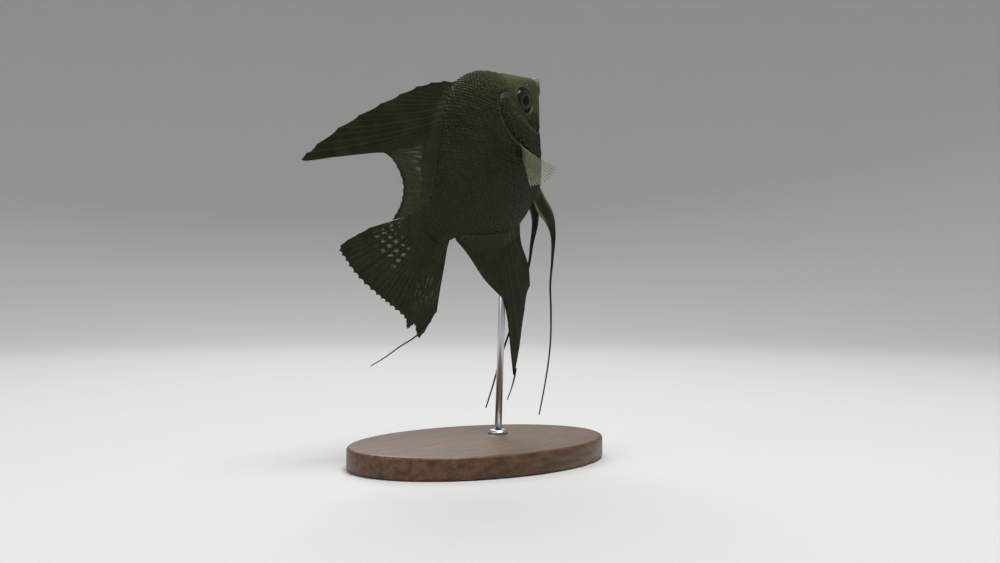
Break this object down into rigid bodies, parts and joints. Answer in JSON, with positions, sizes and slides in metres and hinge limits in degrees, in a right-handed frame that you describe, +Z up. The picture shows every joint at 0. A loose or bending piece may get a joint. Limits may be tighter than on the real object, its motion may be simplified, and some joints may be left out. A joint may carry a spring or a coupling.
{
  "type": "freshwater angelfish",
  "caption": "Black freshwater angelfish at life size, nose up with fins spread and long pelvic threads, held over an oval wooden base by a slim steel rod.",
  "frame": {"origin": "middle of the underside of the stand's base", "axes": "+X the way the fish heads, +Y its left side, +Z up"},
  "size_m": [0.1369, 0.078, 0.1434],
  "materials": {
    "skin": "near-black scaled skin with a faint olive sheen",
    "fin": "thin black fin web between rays, with clear specks near the margins",
    "clear_fin": "pale, see-through fin web between fine rays",
    "eye": "wet black eye with a thin dark bronze ring",
    "base_wood": "dark oiled wood, satin",
    "rod_steel": "brushed, satin"
  },
  "bodies": {
    "root": {"head": "skin", "lower_jaw": "skin", "gill_cover_left": "skin", "gill_cover_right": "skin", "trunk": "skin", "tail": "skin", "dorsal_fin": "fin", "anal_fin": "fin", "caudal_fin": "fin", "pelvic_fin_left": "fin", "pelvic_fin_right": "fin", "pectoral_fin_left": "clear_fin", "pectoral_fin_right": "clear_fin", "eye_left": "eye", "eye_right": "eye", "stand_base": "base_wood", "stand_collar": "rod_steel", "stand_rod": "rod_steel"}
  },
  "joints": []
}
